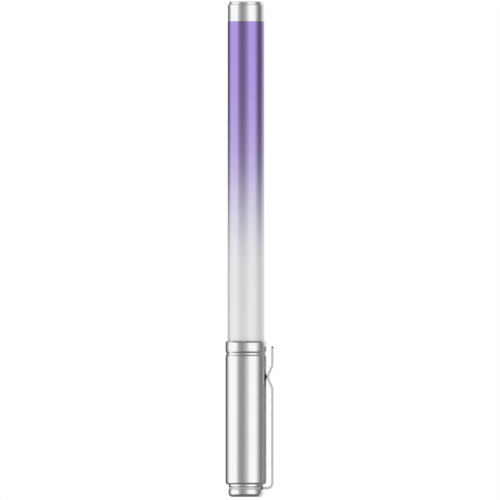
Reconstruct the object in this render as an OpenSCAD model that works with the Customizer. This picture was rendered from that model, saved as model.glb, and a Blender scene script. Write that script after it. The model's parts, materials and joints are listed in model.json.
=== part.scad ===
// LED light tube: a pocket light wand with one AAA-size cell in its barrel.
// It stands upright on its tail cap, with the origin at the centre of the tail face and +Z up.
// The clip is on the +X side. All sizes are in millimetres.

/* [Battery cell] */
// Diameter over the cell's plastic wrap
cell_d = 10.5; // [9.5:0.1:10.6]
// Length of the cell from its flat end to its tip
cell_len = 44.5; // [40:0.5:60]

/* [Barrel] */
// Outer diameter of the barrel and of the twist collar
barrel_d = 15; // [14.8:0.1:17]
// Height of the groove that parts the collar from the barrel
groove_h = 1.2; // [1:0.1:2]
// Depth of that groove
groove_depth = 0.35; // [0.25:0.05:0.5]
// Height of the full-diameter part of the twist collar
collar_h = 3.95; // [3.8:0.05:6]

/* [Tail] */
// Diameter of the tail cap's flange and of the barrel's neck
tail_d = 12.8; // [12.6:0.1:13]
// Height of the tail cap's flange
flange_h = 2.8; // [2.4:0.1:4]
// Height of the barrel's neck, between the clip and the barrel's shoulder
neck_h = 1; // [0.8:0.1:2]
// Pitch of the tail thread and of the collar thread
thread_pitch = 0.75; // [0.5:0.05:0.8]

/* [Diffuser tube] */
// Outer diameter of the diffuser tube
tube_d = 13.4; // [12.8:0.1:13.6]
// Wall thickness of the diffuser tube
tube_wall = 1; // [0.9:0.05:1.2]
// Length of the tube that shows between the collar and the end cap
tube_len = 117.5; // [80:0.5:260]
// Diameter of the end cap
end_cap_d = 13.2; // [12.8:0.05:13.4]
// Height of the end cap above the tube
end_cap_h = 7.3; // [6:0.1:10]

/* [Pocket clip] */
// Thickness of the clip's spring steel
clip_t = 0.8; // [0.6:0.05:0.9]
// Width of the clip at its foot
clip_w = 6; // [4.5:0.1:7]
// Width of the clip just under its rolled tip
clip_tip_w = 5.4; // [3.5:0.1:6]
// Clear gap between the barrel and the straight part of the clip
clip_gap = 1.8; // [1.4:0.1:2.5]
// Height of the clip's tip above the tail face
clip_top = 55.4; // [54:0.2:58]
// Height of the bend that rests on the barrel's pad
clip_bend_z = 44.1; // [40:0.5:45]
// Slope of the bend's two legs against the barrel, in degrees
clip_slope = 25; // [24:1:34]
// Thickness of the rubber pad that the bend rests on
pad_t = 0.2; // [0.15:0.05:0.4]

/* [LED board] */
// Distance from one LED to the next
led_spacing = 4.8; // [4:0.1:12]
// Width of the LED board
board_w = 9; // [7:0.5:9.4]
// Thickness of the LED board and of the driver board
board_t = 1; // [0.8:0.1:1.1]

/* [Hidden] */

round_fn = 96; // facets that stand for a full circle; the rebuilt surfaces are true
small_fn = 32;
gap = 0.05; // radial clearance of a thread or a sliding fit
eps = 0.01; // the least clearance between two pieces of one assembly

// Radii that several pieces share
barrel_r = barrel_d / 2;
tail_r = tail_d / 2;
cell_r = cell_d / 2;
tube_r = tube_d / 2;
tube_bore_r = tube_r - tube_wall;
tube_spigot_r = tube_r - 0.3; // of the tube's lower end, in the collar's socket
end_cap_r = end_cap_d / 2;
tail_thread_r = 5.7;
tail_bore_r = tail_thread_r + gap;
cell_bore_r = 5.5;
collar_thread_r = 6.3;
collar_bore_r = collar_thread_r + gap;
seal_bore_r = 6.55;
skirt_inner_r = 5.45;
shelf_r = 4.7; // of the opening over the driver board

// Heights, from the tail face upwards
ring_z = flange_h;
neck_z = ring_z + clip_t;
shoulder_z = neck_z + neck_h;
plug_top = flange_h + 5.4;
cup_floor = 1.5;
cell_z = plug_top + 0.2;
cell_top = cell_z + cell_len;
tip_h = 1.15;
wrap_top = cell_top - tip_h;
barrel_top = cell_top - 0.85;
skirt_z = barrel_top - 6.2;
collar_z = barrel_top + groove_h;
collar_top = collar_z + collar_h;
shelf_z = collar_top - 2.5;
socket_z = shelf_z + 0.6;
board_z = shelf_z - board_t;
tube_top = collar_top + tube_len;
overall_h = tube_top + end_cap_h;

// The LED board and its two holders
lower_web_z = socket_z + 3.4;
lower_holder_top = lower_web_z + 5;
upper_holder_z = tube_top - 11.8;
upper_holder_top = upper_holder_z + 5;
led_board_z = socket_z + 1.7;
led_board_top = upper_holder_top - 0.2;
led_margin = 3; // from a holder to the nearest LED's middle
led_zone_h = upper_holder_z - lower_holder_top - 2 * led_margin;
led_count = floor(led_zone_h / led_spacing) + 1;
led_z = lower_holder_top + led_margin + (led_zone_h - (led_count - 1) * led_spacing) / 2;
led_w = 2.8;
led_h = 3.5;
led_t = 0.7;

// Points on an arc, from angle a0 to a1, about (cx, cy)
function arc(cx, cy, r, a0, a1, n = 6) =
    [for (i = [0:n]) let (a = a0 + (a1 - a0) * i / n) [cx + r * cos(a), cy + r * sin(a)]];

// A turned piece from its outline of [radius, height] points
module turned(outline) {
    rotate_extrude($fn = round_fn) polygon(outline);
}

module disc(r, z, h) {
    translate([0, 0, z]) cylinder(r = r, h = h, $fn = round_fn);
}

module washer(r_out, r_in, z, h) {
    difference() {
        disc(r_out, z, h);
        disc(r_in, z - 1, h + 2);
    }
}

module o_ring(major_r, minor_r, z) {
    translate([0, 0, z]) rotate_extrude($fn = round_fn) translate([major_r, 0]) circle(r = minor_r, $fn = small_fn);
}

// Ring grooves that stand for the thread on an outside wall of radius r
module thread_grooves(r, depth, z_from, z_to) {
    count = floor((z_to - z_from) / thread_pitch);
    for (i = [0:count - 1]) {
        z = z_from + i * thread_pitch;
        rotate_extrude($fn = round_fn)
            polygon([[r + 1, z + 0.05], [r, z + 0.05], [r - depth, z + thread_pitch / 2],
                     [r, z + thread_pitch - 0.05], [r + 1, z + thread_pitch - 0.05]]);
    }
}

// ---------- Tail ----------

tail_groove_z = neck_z + 0.15;
tail_groove_h = 0.9;
tail_groove_r = 5;

module tail_cap() {
    corner = 1.5;
    land = 0.15;
    color("silver") difference() {
        turned(concat(
            [[0, 0]],
            arc(tail_r - corner, corner, corner, -90, 0),
            [[tail_r, flange_h - land], [tail_r - land, flange_h], [tail_thread_r - 0.1, flange_h],
             [tail_thread_r - 0.1, tail_groove_z], [tail_groove_r, tail_groove_z],
             [tail_groove_r, tail_groove_z + tail_groove_h], [tail_thread_r, tail_groove_z + tail_groove_h],
             [tail_thread_r, plug_top - 0.3], [tail_thread_r - 0.3, plug_top],
             [4.5, plug_top], [4.5, cup_floor], [0, cup_floor]]
        ));
        thread_grooves(tail_thread_r, 0.35, tail_groove_z + tail_groove_h + 0.2, plug_top - 0.3);
    }
}

module tail_o_ring() {
    minor = 0.36;
    color("#202020") o_ring(tail_groove_r + minor + eps, minor, tail_groove_z + tail_groove_h / 2);
}

plate_t = 0.3;

module contact_plate() {
    color("goldenrod") disc(4.3, cup_floor, plate_t);
}

// The negative contact: a conical spring with closed end turns
spring_wire_r = 0.3;
spring_base_r = 3.6;
spring_top_r = 2.4;
spring_turns = 5.5; // the first and the last one are close-wound
spring_rings = 16; // rings on each turn
spring_sides = 8;
spring_z0 = cup_floor + plate_t + spring_wire_r;
spring_rise = cell_z - spring_wire_r - spring_z0;
close_pitch = 2 * spring_wire_r + 0.02;
open_pitch = (spring_rise - 2 * close_pitch) / (spring_turns - 2);

function rise_at(t) =
    t < 1 ? close_pitch * t
    : t < spring_turns - 1 ? close_pitch + open_pitch * (t - 1)
    : spring_rise - close_pitch * (spring_turns - t);
function spring_at(t) =
    let (r = spring_base_r + (spring_top_r - spring_base_r) * t / spring_turns)
    [r * cos(360 * t), r * sin(360 * t), spring_z0 + rise_at(t)];
// A ring of the wire at turn t, in the upright plane through the axis
function spring_ring(t) =
    let (c = spring_at(t), a = 360 * t)
    [for (k = [0:spring_sides - 1])
        let (b = 360 * k / spring_sides)
        c + spring_wire_r * [cos(b) * cos(a), cos(b) * sin(a), sin(b)]];

module contact_spring() {
    n = ceil(spring_turns * spring_rings);
    m = spring_sides;
    points = [for (i = [0:n]) each spring_ring(spring_turns * i / n)];
    sides = [for (i = [0:n - 1]) for (k = [0:m - 1])
        [i * m + k, i * m + (k + 1) % m, (i + 1) * m + (k + 1) % m, (i + 1) * m + k]];
    first = [for (k = [0:m - 1]) m - 1 - k];
    last = [for (k = [0:m - 1]) n * m + k];
    color("#c8b070") polyhedron(points, concat([first], sides, [last]));
}

// ---------- Battery cell ----------

wrap_t = 0.1;
can_r = cell_r - wrap_t - eps;
can_wall = 0.2;
can_top = wrap_top - 0.15;
seal_h = 0.6;

module cell_can() {
    color("#b8bcc0") turned([
        [0, cell_z], [can_r - 0.3, cell_z], [can_r, cell_z + 0.3], [can_r, can_top],
        [can_r - can_wall, can_top], [can_r - can_wall, cell_z + can_wall], [0, cell_z + can_wall]
    ]);
}

module cell_core() {
    z = cell_z + can_wall + eps;
    color("#3a3a40") disc(can_r - can_wall - eps, z, can_top - seal_h - eps - z);
}

module cell_seal() {
    color("ivory") washer(can_r - can_wall - eps, 2.6, can_top - seal_h, seal_h);
}

module cell_tip() {
    nub_r = 1.9;
    z = can_top - seal_h;
    color("#c0c4c8") turned(concat(
        [[0, z], [2.55, z], [2.55, z + 0.4], [nub_r, z + 0.5]],
        arc(nub_r - 0.3, cell_top - 0.3, 0.3, 0, 90, 3),
        [[0, cell_top]]
    ));
}

module cell_wrap() {
    color("#d8d8dc") turned([
        [can_r + eps, cell_z + 0.4], [cell_r, cell_z + 0.4], [cell_r, wrap_top - 0.1],
        [cell_r - 0.1, wrap_top], [4.5, wrap_top], [4.5, can_top + eps], [can_r + eps, can_top + eps]
    ]);
}

// ---------- Barrel and clip ----------

groove_edge = 0.2; // of the chamfers above and below the groove between the barrel and the collar
groove_rise = 0.3; // height of those chamfers, and of the groove's flared ends

module barrel() {
    fillet = 0.9;
    neck_edge = 0.25;
    mouth_z = barrel_top - 1.6;
    color("silver") turned(concat(
        [[tail_bore_r, neck_z], [tail_r - neck_edge, neck_z], [tail_r, neck_z + neck_edge], [tail_r, shoulder_z]],
        arc(barrel_r - fillet, shoulder_z + fillet, fillet, -90, 0),
        [[barrel_r, barrel_top - groove_rise], [barrel_r - groove_edge, barrel_top], [seal_bore_r, barrel_top],
         [seal_bore_r, mouth_z], [collar_bore_r, mouth_z - 0.2], [collar_bore_r, skirt_z - 0.4],
         [cell_bore_r, skirt_z - 0.4], [cell_bore_r, plug_top + 0.65], [tail_bore_r, plug_top + 0.4]]
    ));
}

// The clip is one stamping. Its ring is clamped between the tail cap and the barrel's neck,
// and its arm bends at the foot, where the two solids meet.
ring_outer_r = tail_r - 0.2;
foot_x = 7;
strip_r = barrel_r + clip_gap + clip_t / 2; // from the axis to the middle of the strip's thickness
foot_z = ring_z + clip_t / 2;
foot_bend = 1.9;
clip_tip_r = 0.45; // of the rolled tip
bend_r = 3; // of the bend that rests on the pad
corner_r = 1.2; // of the corners above and below it
bend_depth = clip_gap - pad_t - 0.02; // leaves the bend just clear of the pad
leg_run = bend_depth - (bend_r + corner_r) * (1 - cos(clip_slope));
leg_rise = leg_run / tan(clip_slope);
bend_half_h = (bend_r + corner_r) * sin(clip_slope) + leg_rise;

// A domed rubber pad on the barrel, under the clip's bend
module clip_pad() {
    dome_r = 6.5;
    pad_w = 5.4;
    pad_h = 2.8;
    fine_fn = 4 * round_fn; // the pad is thin next to the radii of its two faces
    color("#202020") translate([0, 0, clip_bend_z]) difference() {
        intersection() {
            translate([barrel_r + pad_t - dome_r, 0, 0]) sphere(r = dome_r, $fn = fine_fn);
            translate([0, -pad_w / 2, -pad_h / 2]) cube([barrel_r + pad_t, pad_w, pad_h]);
        }
        translate([0, 0, -pad_h]) cylinder(r = barrel_r + eps, h = 2 * pad_h, $fn = fine_fn);
    }
}

module clip_ring() {
    color("#d0d2d4") difference() {
        union() {
            disc(ring_outer_r, ring_z, clip_t);
            translate([0, -clip_w / 2, ring_z]) cube([foot_x, clip_w, clip_t]);
        }
        disc(tail_thread_r + 0.1, ring_z - 1, clip_t + 2);
    }
}

// The middle line of the strip seen from -Y, as [x, z, direction in degrees]
function turn_points(cx, cz, r, a0, a1, n) =
    [for (i = [0:n])
        let (a = a0 + (a1 - a0) * i / n, heading = a1 > a0 ? a + 90 : a - 90)
        [cx + r * cos(a), cz + r * sin(a), heading]];

clip_line = concat(
    [[foot_x, foot_z, 0]],
    turn_points(strip_r - foot_bend, foot_z + foot_bend, foot_bend, -90, 0, 8),
    turn_points(strip_r - corner_r, clip_bend_z - bend_half_h, corner_r, 0, clip_slope, 3),
    turn_points(strip_r - bend_depth + bend_r, clip_bend_z, bend_r, 180 + clip_slope, 180 - clip_slope, 8),
    turn_points(strip_r - corner_r, clip_bend_z + bend_half_h, corner_r, -clip_slope, 0, 3),
    [[strip_r, clip_top - clip_tip_r, 90]]
);

function beside(p, d) = [p[0] - d * sin(p[2]), p[1] + d * cos(p[2])];

module clip_profile() {
    n = len(clip_line);
    polygon(concat(
        [for (i = [0:n - 1]) beside(clip_line[i], -clip_t / 2)],
        [for (i = [0:n - 1]) beside(clip_line[n - 1 - i], clip_t / 2)]
    ));
}

// The strip's face, which narrows from the foot to the tip
module clip_outline() {
    polygon([[-clip_w / 2, 0], [clip_w / 2, 0], [clip_w / 2, 8], [clip_tip_w / 2, clip_top],
             [-clip_tip_w / 2, clip_top], [-clip_w / 2, 8]]);
}

module clip_arm() {
    color("#d0d2d4") union() {
        intersection() {
            translate([0, clip_w, 0]) rotate([90, 0, 0]) linear_extrude(clip_w * 2) clip_profile();
            translate([foot_x, 0, 0]) rotate([90, 0, 90]) linear_extrude(8) clip_outline();
        }
        translate([strip_r, clip_tip_w / 2, clip_top - clip_tip_r])
            rotate([90, 0, 0]) cylinder(r = clip_tip_r, h = clip_tip_w, $fn = small_fn);
    }
}

// ---------- Head ----------

head_groove_z = barrel_top - 1.25;
head_groove_h = 0.75;
head_groove_r = 5.95;

module head_collar() {
    band_r = barrel_r - groove_depth;
    fillet = 0.7;
    pilot_r = seal_bore_r - gap;
    color("silver") difference() {
        turned(concat(
            [[skirt_inner_r, skirt_z], [collar_thread_r - 0.2, skirt_z], [collar_thread_r, skirt_z + 0.2],
             [collar_thread_r, head_groove_z], [head_groove_r, head_groove_z],
             [head_groove_r, head_groove_z + head_groove_h], [pilot_r, head_groove_z + head_groove_h],
             [pilot_r, barrel_top], [barrel_r - groove_edge, barrel_top], [band_r, barrel_top + groove_rise],
             [band_r, collar_z - groove_rise], [barrel_r - groove_edge, collar_z],
             [barrel_r, collar_z + groove_rise]],
            arc(barrel_r - fillet, collar_top - fillet, fillet, 0, 90),
            [[tube_spigot_r + 0.02, collar_top], [tube_spigot_r + 0.02, socket_z],
             [shelf_r, socket_z], [shelf_r, shelf_z], [skirt_inner_r, shelf_z]]
        ));
        thread_grooves(collar_thread_r, 0.3, skirt_z + 0.4, head_groove_z - 0.4);
    }
}

module head_o_ring() {
    minor = 0.29;
    color("#202020") o_ring(head_groove_r + minor + eps, minor, head_groove_z + head_groove_h / 2);
}

retainer_h = 1;
retainer_hole_r = 4;
guard_drop = 0.5; // how far the polarity guard stands below the positive contact

module retaining_ring() {
    z = board_z - retainer_h;
    notch = 1.2;
    color("goldenrod") difference() {
        washer(skirt_inner_r - gap, retainer_hole_r, z, retainer_h);
        translate([-skirt_inner_r, -notch / 2, z - 1]) cube([2 * skirt_inner_r, notch, 1.5]);
    }
}

module polarity_guard() {
    z = cell_top - guard_drop;
    color("white") washer(retainer_hole_r - gap, 2.6, z, board_z - z);
}

module positive_contact() {
    color("goldenrod") turned([
        [0, cell_top], [1.2, cell_top], [1.5, cell_top + 0.3], [1.5, board_z], [0, board_z]
    ]);
}

module driver_board() {
    color("seagreen") disc(5.2, board_z, board_t);
}

// A small square or oblong part on the driver board's upper face, at (x, y)
module chip(x, y, w, d, h) {
    translate([x - w / 2, y - d / 2, shelf_z]) cube([w, d, h]);
}

module driver_parts() {
    color("#303034") {
        chip(-1.4, 2.1, 2.8, 2.8, 1.5);
        chip(-1.2, -2.4, 2.2, 2, 0.9);
        for (x = [1.2, 2.8]) chip(x, 2.4, 0.8, 1.6, 0.8);
        for (y = [-1.7, -3]) chip(1.4, y, 1.6, 0.8, 0.6);
    }
}

lead_r = 0.35;
lead_x = 2.4;

module power_leads() {
    y = board_t / 2 + lead_r + eps;
    for (side = [-1, 1])
        color(side > 0 ? "firebrick" : "#202020") translate([side * lead_x, side * y, shelf_z])
            cylinder(r = lead_r, h = lower_web_z - 0.4 - shelf_z, $fn = small_fn);
}

// ---------- Light column ----------

module holder_slot(z, h) {
    translate([-board_w / 2 - gap, -board_t / 2 - gap, z]) cube([board_w + 2 * gap, board_t + 2 * gap, h]);
}

module lower_holder() {
    color("white") difference() {
        disc(tube_bore_r - 0.02, socket_z, lower_holder_top - socket_z);
        disc(shelf_r, socket_z - 1, lower_web_z - socket_z + 1);
        holder_slot(lower_web_z - 1, lower_holder_top - lower_web_z + 2);
    }
}

module led_board() {
    color("white") translate([-board_w / 2, -board_t / 2, led_board_z])
        cube([board_w, board_t, led_board_top - led_board_z]);
}

// One LED package that looks along +Y, with a round well for its phosphor
module led_package() {
    difference() {
        translate([-led_w / 2, 0, -led_h / 2]) cube([led_w, led_t, led_h]);
        translate([0, led_t - 0.2, 0]) rotate([-90, 0, 0]) cylinder(r = 1.15, h = 1, $fn = small_fn);
    }
}

module led_row() {
    for (i = [0:led_count - 1])
        translate([0, board_t / 2, led_z + i * led_spacing]) led_package();
}

module front_leds() {
    color("#f2e27a") rotate([0, 0, 180]) led_row();
}

module rear_leds() {
    color("#f2e27a") led_row();
}

module led_resistors() {
    color("#303034")
        for (turn = [0, 180]) rotate([0, 0, turn])
            for (i = [0:2:led_count - 1])
                translate([2.4, board_t / 2, led_z + i * led_spacing - 0.8]) cube([0.8, 0.5, 1.6]);
}

module upper_holder() {
    color("white") difference() {
        disc(tube_bore_r - 0.02, upper_holder_z, upper_holder_top - upper_holder_z);
        holder_slot(upper_holder_z - 1, upper_holder_top - upper_holder_z + 2);
    }
}

module end_reflector() {
    color("whitesmoke") disc(tube_bore_r - 0.1, upper_holder_top + 1, 0.4);
}

module diffuser_tube() {
    color("#a58cd8") turned([
        [tube_bore_r, socket_z], [tube_spigot_r, socket_z], [tube_spigot_r, collar_top],
        [tube_r, collar_top], [tube_r, tube_top], [tube_bore_r, tube_top]
    ]);
}

cap_groove_z = tube_top - 2.8;
cap_groove_h = 0.75;
cap_groove_r = tube_bore_r - 0.6;

module end_cap() {
    plug_r = tube_bore_r - 0.04;
    step_h = 1;
    step_r = end_cap_r - 0.5;
    step_z = overall_h - step_h;
    relief = 0.2; // a fine groove at the foot of the top step
    cavity_r = 4;
    color("silver") turned([
        [cavity_r, tube_top - 4], [plug_r - 0.2, tube_top - 4], [plug_r, tube_top - 3.8],
        [plug_r, cap_groove_z], [cap_groove_r, cap_groove_z], [cap_groove_r, cap_groove_z + cap_groove_h],
        [plug_r, cap_groove_z + cap_groove_h], [plug_r, tube_top], [end_cap_r - 0.1, tube_top],
        [end_cap_r, tube_top + 0.1], [end_cap_r, step_z - 0.2], [end_cap_r - 0.2, step_z],
        [step_r - relief, step_z], [step_r - relief, step_z + relief], [step_r, step_z + relief],
        [step_r, overall_h - 0.2], [step_r - 0.2, overall_h], [0, overall_h],
        [0, overall_h - 2.2], [cavity_r, overall_h - 2.2]
    ]);
}

module end_cap_o_ring() {
    minor = 0.29;
    color("#202020") o_ring(cap_groove_r + minor + eps, minor, cap_groove_z + cap_groove_h / 2);
}

tail_cap();
tail_o_ring();
contact_plate();
contact_spring();
cell_can();
cell_core();
cell_seal();
cell_tip();
cell_wrap();
barrel();
clip_pad();
clip_ring();
clip_arm();
head_collar();
head_o_ring();
retaining_ring();
polarity_guard();
positive_contact();
driver_board();
driver_parts();
power_leads();
lower_holder();
led_board();
front_leds();
rear_leds();
led_resistors();
upper_holder();
end_reflector();
diffuser_tube();
end_cap();
end_cap_o_ring();
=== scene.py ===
"""The looks of a pocket LED light tube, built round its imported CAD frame.

Outlines are in millimetres and in the part's own frame, and turn into metres when a mesh is made.
"""

import json
import math

import bmesh
import bpy
from mathutils import Matrix, Vector


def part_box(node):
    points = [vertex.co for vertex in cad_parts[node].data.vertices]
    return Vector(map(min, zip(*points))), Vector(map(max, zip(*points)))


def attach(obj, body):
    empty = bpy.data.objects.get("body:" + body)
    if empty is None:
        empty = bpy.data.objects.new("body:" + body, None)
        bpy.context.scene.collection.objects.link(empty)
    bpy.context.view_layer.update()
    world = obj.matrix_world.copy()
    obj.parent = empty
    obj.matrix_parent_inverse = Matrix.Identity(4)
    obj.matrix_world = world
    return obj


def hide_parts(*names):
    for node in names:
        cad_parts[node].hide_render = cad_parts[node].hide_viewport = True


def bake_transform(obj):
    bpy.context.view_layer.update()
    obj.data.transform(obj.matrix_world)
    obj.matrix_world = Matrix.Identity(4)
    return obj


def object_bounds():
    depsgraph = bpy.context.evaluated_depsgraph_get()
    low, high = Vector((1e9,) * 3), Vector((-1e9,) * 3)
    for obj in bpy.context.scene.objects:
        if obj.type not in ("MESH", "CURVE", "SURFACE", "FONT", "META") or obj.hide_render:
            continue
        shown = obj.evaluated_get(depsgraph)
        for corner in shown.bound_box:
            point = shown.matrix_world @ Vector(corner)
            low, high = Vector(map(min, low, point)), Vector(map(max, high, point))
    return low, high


MM = 0.001
TURNED_FACETS, SMALL_FACETS = 160, 96  # sides of a turned piece, and of a small one
MICRO = 0.06  # radius of an edge that is only broken, in mm
GROOVE_EDGE, GROOVE_RISE = 0.14, 0.42  # chamfers above and below the groove under the collar, in mm
THREAD_PITCH = 0.75
CLIP_TIP_W, CLIP_TIP_R = 5.4, 0.45  # the clip's rolled tip
LED_PITCH, LED_HEIGHT = 4.8, 3.5
RELIEF_DEPTH = 0.00002  # of a material's bumps, in metres

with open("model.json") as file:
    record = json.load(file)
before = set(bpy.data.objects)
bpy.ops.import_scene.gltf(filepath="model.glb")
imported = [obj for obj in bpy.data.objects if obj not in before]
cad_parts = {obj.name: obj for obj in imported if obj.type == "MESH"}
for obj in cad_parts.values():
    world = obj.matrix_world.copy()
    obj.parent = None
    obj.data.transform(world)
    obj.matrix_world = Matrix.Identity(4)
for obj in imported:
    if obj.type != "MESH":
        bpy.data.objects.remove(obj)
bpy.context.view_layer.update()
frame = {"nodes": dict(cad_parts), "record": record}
BODY_OF = {node: body for body, nodes in frame["record"]["behaviour"]["bodies"].items() for node in nodes}


def box_mm(node):
    """A CAD node's lowest and highest corners, in mm."""
    low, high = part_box(node)
    return low / MM, high / MM


# ---------------------------------------------------------------- mesh helpers


def skin(bm, loops, ends=True, wear=None, material=0):
    """Joins loops of points into a skin. Each loop has as many points, and wear has a value for each loop."""
    layer = bm.verts.layers.float.get("wear") or bm.verts.layers.float.new("wear")
    rings = []
    for i, loop in enumerate(loops):
        ring = [bm.verts.new(point) for point in loop]
        for vertex in ring:
            vertex[layer] = wear[i] if wear else 0.0
        rings.append(ring)
    faces = []
    for lower, upper in zip(rings, rings[1:]):
        for i in range(len(lower)):
            j = (i + 1) % len(lower)
            faces.append(bm.faces.new((lower[i], lower[j], upper[j], upper[i])))
    if ends:
        faces.append(bm.faces.new(rings[0][::-1]))
        faces.append(bm.faces.new(rings[-1]))
    for face in faces:
        face.material_index = material
    return faces


def finish_mesh(name, bm, weld=1e-4):
    """Turns a bmesh in mm into an object in metres, smooth, with normals led by its large faces."""
    bmesh.ops.remove_doubles(bm, verts=bm.verts, dist=weld)
    bmesh.ops.dissolve_degenerate(bm, edges=bm.edges, dist=weld / 10)
    bmesh.ops.recalc_face_normals(bm, faces=bm.faces)
    bmesh.ops.transform(bm, matrix=Matrix.Scale(MM, 4), verts=bm.verts)
    mesh = bpy.data.meshes.new(name)
    bm.to_mesh(mesh)
    bm.free()
    mesh.shade_smooth()
    piece = bpy.data.objects.new(name, mesh)
    bpy.context.scene.collection.objects.link(piece)
    piece.modifiers.new("normals", "WEIGHTED_NORMAL").keep_sharp = True
    return piece


def circle(radius, z, facets):
    """Points round the part's axis."""
    return [
        Vector((radius * math.cos(math.tau * i / facets), radius * math.sin(math.tau * i / facets), z))
        for i in range(facets)
    ]


def corner_reaches(outline, broken):
    """For each point of an outline, how far its round corner reaches along its sides, and half its angle."""
    almost_straight, usable = 1.5, 0.98  # half of an angle, and the share of a side that its corners may take
    count = len(outline)
    points = [Vector(point[:2]) for point in outline]
    sides = [(points[(i + 1) % count] - points[i]).length for i in range(count)]
    corners = []
    for i, point in enumerate(outline):
        radius = point[2] if len(point) > 2 else broken
        half = (points[i - 1] - points[i]).angle(points[(i + 1) % count] - points[i]) / 2
        sharp = radius == 0 or points[i].x == 0 or half > almost_straight
        corners.append((0.0 if sharp else radius / math.tan(half), half))
    reaches = []
    for i, (reach, half) in enumerate(corners):
        shares = [
            side / max(reach + corners[other % count][0], side) * usable
            for side, other in ((sides[i - 1], i - 1), (sides[i], i + 1))
        ]
        reaches.append((reach * min(shares), half))
    return reaches


def rounded(outline, broken):
    """An outline of (radius, z) or (radius, z, corner radius) points with its corners rounded.

    Gives (radius, z, wear) rows, where wear is 1 along a rounded corner. Points without a corner radius
    take broken.
    """
    rows = []
    for i, (reach, half) in enumerate(corner_reaches(outline, broken)):
        here = Vector(outline[i][:2])
        if reach == 0:
            rows.append((here.x, here.y, 0.0))
            continue
        to_last = (Vector(outline[i - 1][:2]) - here).normalized()
        to_next = (Vector(outline[(i + 1) % len(outline)][:2]) - here).normalized()
        first, last = here + to_last * reach, here + to_next * reach
        centre = here + (to_last + to_next).normalized() * reach / math.cos(half)
        sweep = math.pi - 2 * half
        steps = max(2, round(sweep * (2 + 4 * reach)))
        for k in range(steps + 1):
            s = k / steps
            at = centre + (
                math.sin((1 - s) * sweep) * (first - centre) + math.sin(s * sweep) * (last - centre)
            ) / math.sin(sweep)
            rows.append((at.x, at.y, 1.0))
    return rows


def turned_loops(rows, facets, shape=None):
    """Circles for rows of (radius, z, wear). shape(angle, radius, z) may change a point's radius."""
    loops = []
    for radius, z, _ in rows:
        loop = circle(radius, z, facets)
        if shape and radius > 0:
            for i, point in enumerate(loop):
                angle = math.tau * i / facets
                r = shape(angle, radius, z)
                loop[i] = Vector((r * math.cos(angle), r * math.sin(angle), point.z))
        loops.append(loop)
    return loops


def turned(name, outline, broken=MICRO, facets=TURNED_FACETS, shape=None):
    """A turned piece from its outline, which is closed or starts and ends on the axis."""
    rows = rounded(outline, broken)
    if rows[0][0] > 0:
        rows.append(rows[0])
    bm = bmesh.new()
    skin(bm, turned_loops(rows, facets, shape), ends=False, wear=[row[2] for row in rows])
    return finish_mesh(name, bm)


def thread_rows(radius, z_from, z_to):
    """Outline points close enough together to carry a thread."""
    rows_a_turn = 12
    count = round(abs(z_to - z_from) / THREAD_PITCH * rows_a_turn)
    return [(radius, z_from + (z_to - z_from) * i / count, 0) for i in range(count + 1)]


def thread(radius, depth, z_low, z_high):
    """A shape for turned(): a right-handed groove in the wall of that radius. Depth < 0 cuts outwards."""
    same_wall, run_out = 0.02, 0.4
    mouth, floor = 0.75, 0.25  # the groove's widths at its mouth and its floor, as shares of the pitch

    def shape(angle, r, z):
        if abs(r - radius) > same_wall or not z_low <= z <= z_high:
            return r
        turn = (z / THREAD_PITCH - angle / math.tau) % 1
        cut = min(max((mouth - abs(2 * turn - 1)) / (mouth - floor), 0), 1)
        ends = min((z - z_low) / run_out, (z_high - z) / run_out, 1)
        return r - depth * cut * ends

    return shape


def rectangle(width, depth, corner, steps=3):
    """Points round a rectangle with round corners, as (across, along) pairs centred on 0."""
    corner = min(corner, 0.499 * width, 0.499 * depth)
    points = []
    for turn, (sx, sy) in enumerate(((1, 1), (-1, 1), (-1, -1), (1, -1))):
        cx, cy = sx * (width / 2 - corner), sy * (depth / 2 - corner)
        for k in range(steps + 1):
            a = math.pi / 2 * (turn + k / steps)
            points.append((cx + corner * math.cos(a), cy + corner * math.sin(a)))
    return points


def block(bm, low, high, broken=0.05, material=0):
    """A box with broken edges, from its lowest to its highest corner."""
    low, high = Vector(low), Vector(high)
    middle, size = (low + high) / 2, high - low
    steps = 3
    angles = [math.pi / 2 * k / steps for k in range(steps + 1)]
    levels = [(broken * (1 - math.sin(a)), broken * (1 - math.cos(a))) for a in angles]
    sections = [(low.z + rise, inset) for inset, rise in levels]
    sections += [(high.z - rise, inset) for inset, rise in reversed(levels)]
    loops = []
    for z, inset in sections:
        outline = rectangle(size.x - 2 * inset, size.y - 2 * inset, broken)
        loops.append([Vector((middle.x + across, middle.y + along, z)) for across, along in outline])
    return skin(bm, loops, wear=[1.0] * len(loops), material=material)


def standing_block(bm, at, size, broken, material=0):
    """A box with broken edges that stands on the point at, in the middle of its foot."""
    half = Vector((size[0] / 2, size[1] / 2, 0))
    return block(bm, at - half, at + half + Vector((0, 0, size[2])), broken, material)


def hoop(centre, radius, side, top, sides):
    """Points of a circle round centre, in the plane of side and top."""
    angles = [math.tau * k / sides for k in range(sides)]
    return [centre + radius * (math.cos(a) * side + math.sin(a) * top) for a in angles]


def wire(bm, path, radius, sides=14, up=Vector((0, 0, 1)), material=0):
    """A round wire along a path, with rounded ends."""
    end_rings = [(0.35, 0.03), (0.75, 0.3), (1.0, 1.0)]  # radius and distance from the end, in wire radii
    loops = []
    last = len(path) - 1
    for i, here in enumerate(path):
        along = (path[min(i + 1, last)] - path[max(i - 1, 0)]).normalized()
        side = along.cross(up).normalized()
        top = side.cross(along)
        rings = [(1.0, 0.0)]
        if i == 0:
            rings = end_rings
        elif i == last:
            rings = [(size, -ahead) for size, ahead in reversed(end_rings)]
        for size, ahead in rings:
            loops.append(hoop(here + along * radius * ahead, radius * size, side, top, sides))
    return skin(bm, loops, material=material)


# ---------------------------------------------------------------- material helpers


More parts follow.
